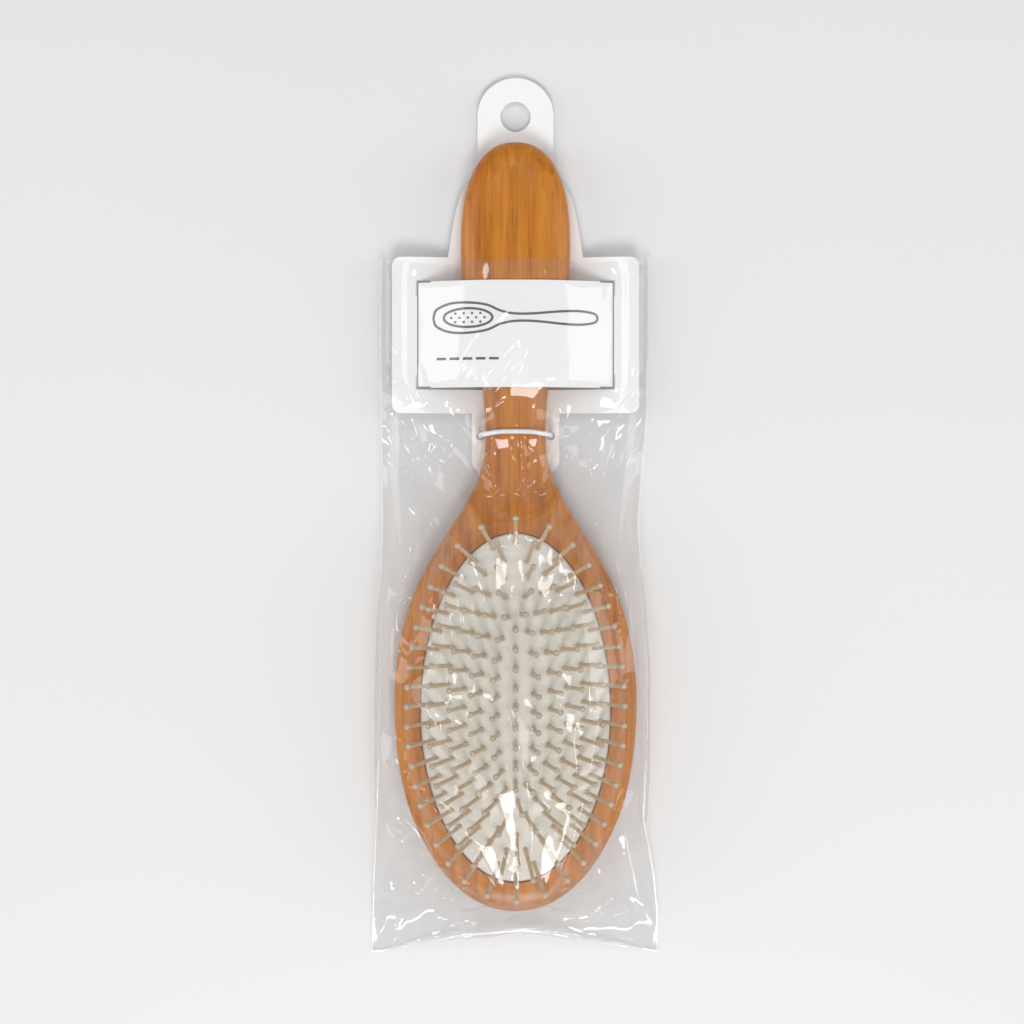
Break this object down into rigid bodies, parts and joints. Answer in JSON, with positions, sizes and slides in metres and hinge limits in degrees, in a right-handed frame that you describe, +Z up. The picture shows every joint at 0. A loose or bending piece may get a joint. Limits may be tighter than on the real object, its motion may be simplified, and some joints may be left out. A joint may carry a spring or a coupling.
{
  "type": "hairbrush",
  "caption": "Oval wooden paddle brush with an air cushion and ball-tipped pins, on a white hang card with a neck tie, inside a clear film bag.",
  "frame": {"origin": "on the surface that the pack lies on, at the centre of its footprint", "axes": "+Y from the head to the handle and the hang tab, +X across the brush, +Z up out of the cushion"},
  "size_m": [0.09, 0.2748, 0.0367],
  "materials": {
    "lacquered_wood": "satin lacquer",
    "pad_rubber": "matte",
    "pin_nylon": "semi-gloss",
    "tip_nylon": "semi-gloss",
    "white_card": "coated, satin",
    "white_tie": "matte",
    "clear_film": "clear, glossy"
  },
  "bodies": {
    "brush": {"wooden_body": "lacquered_wood", "cushion_membrane": "pad_rubber", "hang_card": "white_card", "neck_tie": "white_tie"},
    "pin_ring_1": {"pins_ring_1": "pin_nylon", "tips_ring_1": "tip_nylon"},
    "pin_ring_2": {"pins_ring_2": "pin_nylon", "tips_ring_2": "tip_nylon"},
    "pin_ring_3": {"pins_ring_3": "pin_nylon", "tips_ring_3": "tip_nylon"},
    "pin_ring_4": {"pins_ring_4": "pin_nylon", "tips_ring_4": "tip_nylon"},
    "pin_ring_5": {"pins_ring_5": "pin_nylon", "tips_ring_5": "tip_nylon"},
    "pin_centre_row": {"pins_centre_row": "pin_nylon", "tips_centre_row": "tip_nylon"},
    "bag": {"bag_back_film": "clear_film", "bag_front_film": "clear_film"}
  },
  "joints": [
    {"name": "cushion_press", "type": "slide", "parent": "brush", "child": "pin_centre_row", "axis": [0, 0, -1], "range_m": [0, 0.0035], "stiffness_N_per_m": 1500, "deforming": ["cushion_membrane"]},
    {"name": "press_ring_1", "type": "slide", "parent": "brush", "child": "pin_ring_1", "axis": [0, 0, -1], "range_m": [0, 0.00101], "stiffness_N_per_m": 1500, "deforming": ["cushion_membrane"]},
    {"name": "press_ring_2", "type": "slide", "parent": "brush", "child": "pin_ring_2", "axis": [0, 0, -1], "range_m": [0, 0.00206], "stiffness_N_per_m": 1500, "deforming": ["cushion_membrane"]},
    {"name": "press_ring_3", "type": "slide", "parent": "brush", "child": "pin_ring_3", "axis": [0, 0, -1], "range_m": [0, 0.00279], "stiffness_N_per_m": 1500, "deforming": ["cushion_membrane"]},
    {"name": "press_ring_4", "type": "slide", "parent": "brush", "child": "pin_ring_4", "axis": [0, 0, -1], "range_m": [0, 0.00323], "stiffness_N_per_m": 1500, "deforming": ["cushion_membrane"]},
    {"name": "press_ring_5", "type": "slide", "parent": "brush", "child": "pin_ring_5", "axis": [0, 0, -1], "range_m": [0, 0.00345], "stiffness_N_per_m": 1500, "deforming": ["cushion_membrane"]},
    {"name": "bag_slide", "type": "slide", "parent": "brush", "child": "bag", "axis": [0, -1, 0], "range_m": [0, 0.21], "deforming": ["bag_front_film", "bag_back_film"]}
  ],
  "couplings": [
    {"joint": "press_ring_1", "follows": "cushion_press", "ratio": 0.289},
    {"joint": "press_ring_2", "follows": "cushion_press", "ratio": 0.5881},
    {"joint": "press_ring_3", "follows": "cushion_press", "ratio": 0.7953},
    {"joint": "press_ring_4", "follows": "cushion_press", "ratio": 0.9227},
    {"joint": "press_ring_5", "follows": "cushion_press", "ratio": 0.9847}
  ]
}
